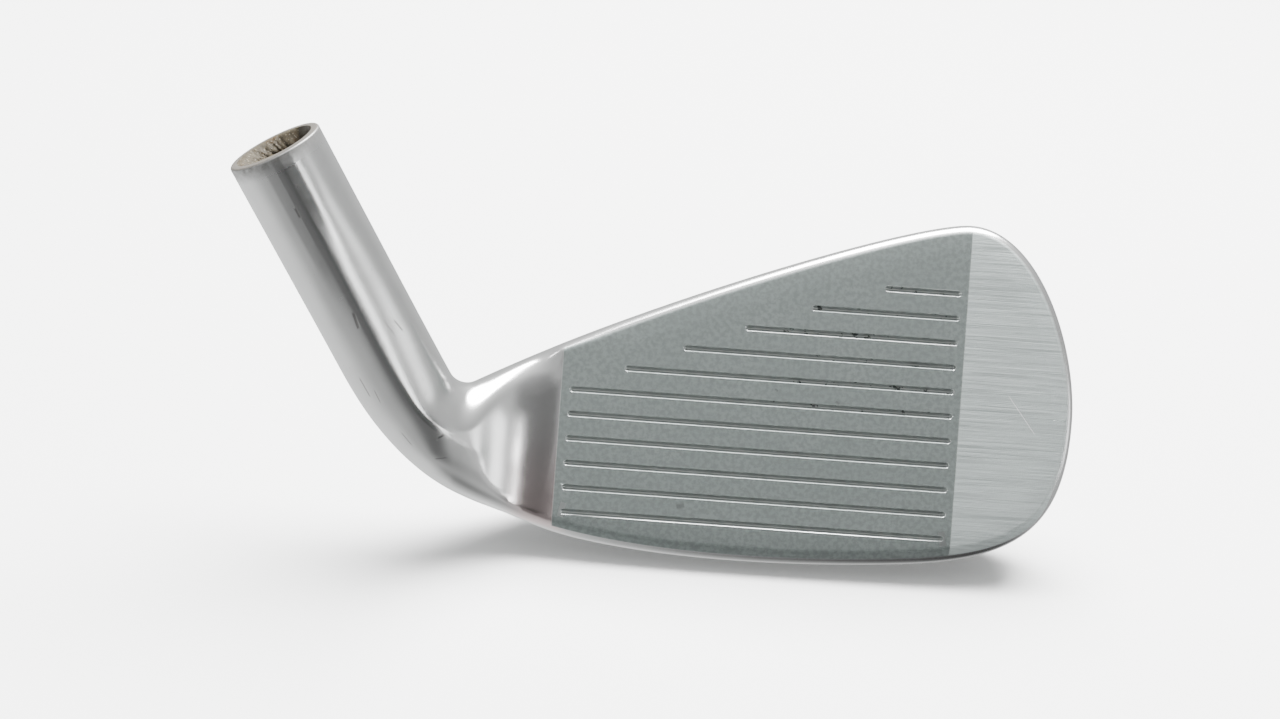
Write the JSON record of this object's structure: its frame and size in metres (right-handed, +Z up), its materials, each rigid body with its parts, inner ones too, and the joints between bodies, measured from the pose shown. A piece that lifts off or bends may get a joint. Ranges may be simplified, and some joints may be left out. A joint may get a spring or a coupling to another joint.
{
  "type": "golf iron head",
  "caption": "left-handed cavity-back iron head with score lines, a polished heel scoop and an open hosel bore for a parallel-tip shaft",
  "frame": {"origin": "on the hosel's axis, at the mouth of the straight bore just under the countersink", "axes": "+X toward the toe along the score lines, the face looks toward -Y, +Z up with the head soled at address"},
  "size_m": [0.1223, 0.0285, 0.063],
  "materials": {
    "forged_steel": "satin nickel-chrome over forged steel, with a blasted face and a polished heel",
    "tungsten": "sintered tungsten",
    "tape": "foam adhesive tape",
    "elastomer": "matt black elastomer",
    "badge": "brushed, bevelled, plain",
    "pin_brass": "dull turned brass",
    "old_epoxy": "cured and crusted epoxy"
  },
  "bodies": {
    "root": {"head_body": "forged_steel", "toe_weight": "tungsten", "heel_weight": "tungsten", "pad_tape": "tape", "damping_pad": "elastomer", "badge_tape": "tape", "cavity_badge": "badge", "swing_weight_pin": "pin_brass", "epoxy_plug": "old_epoxy", "epoxy_crust": "old_epoxy"}
  },
  "joints": []
}
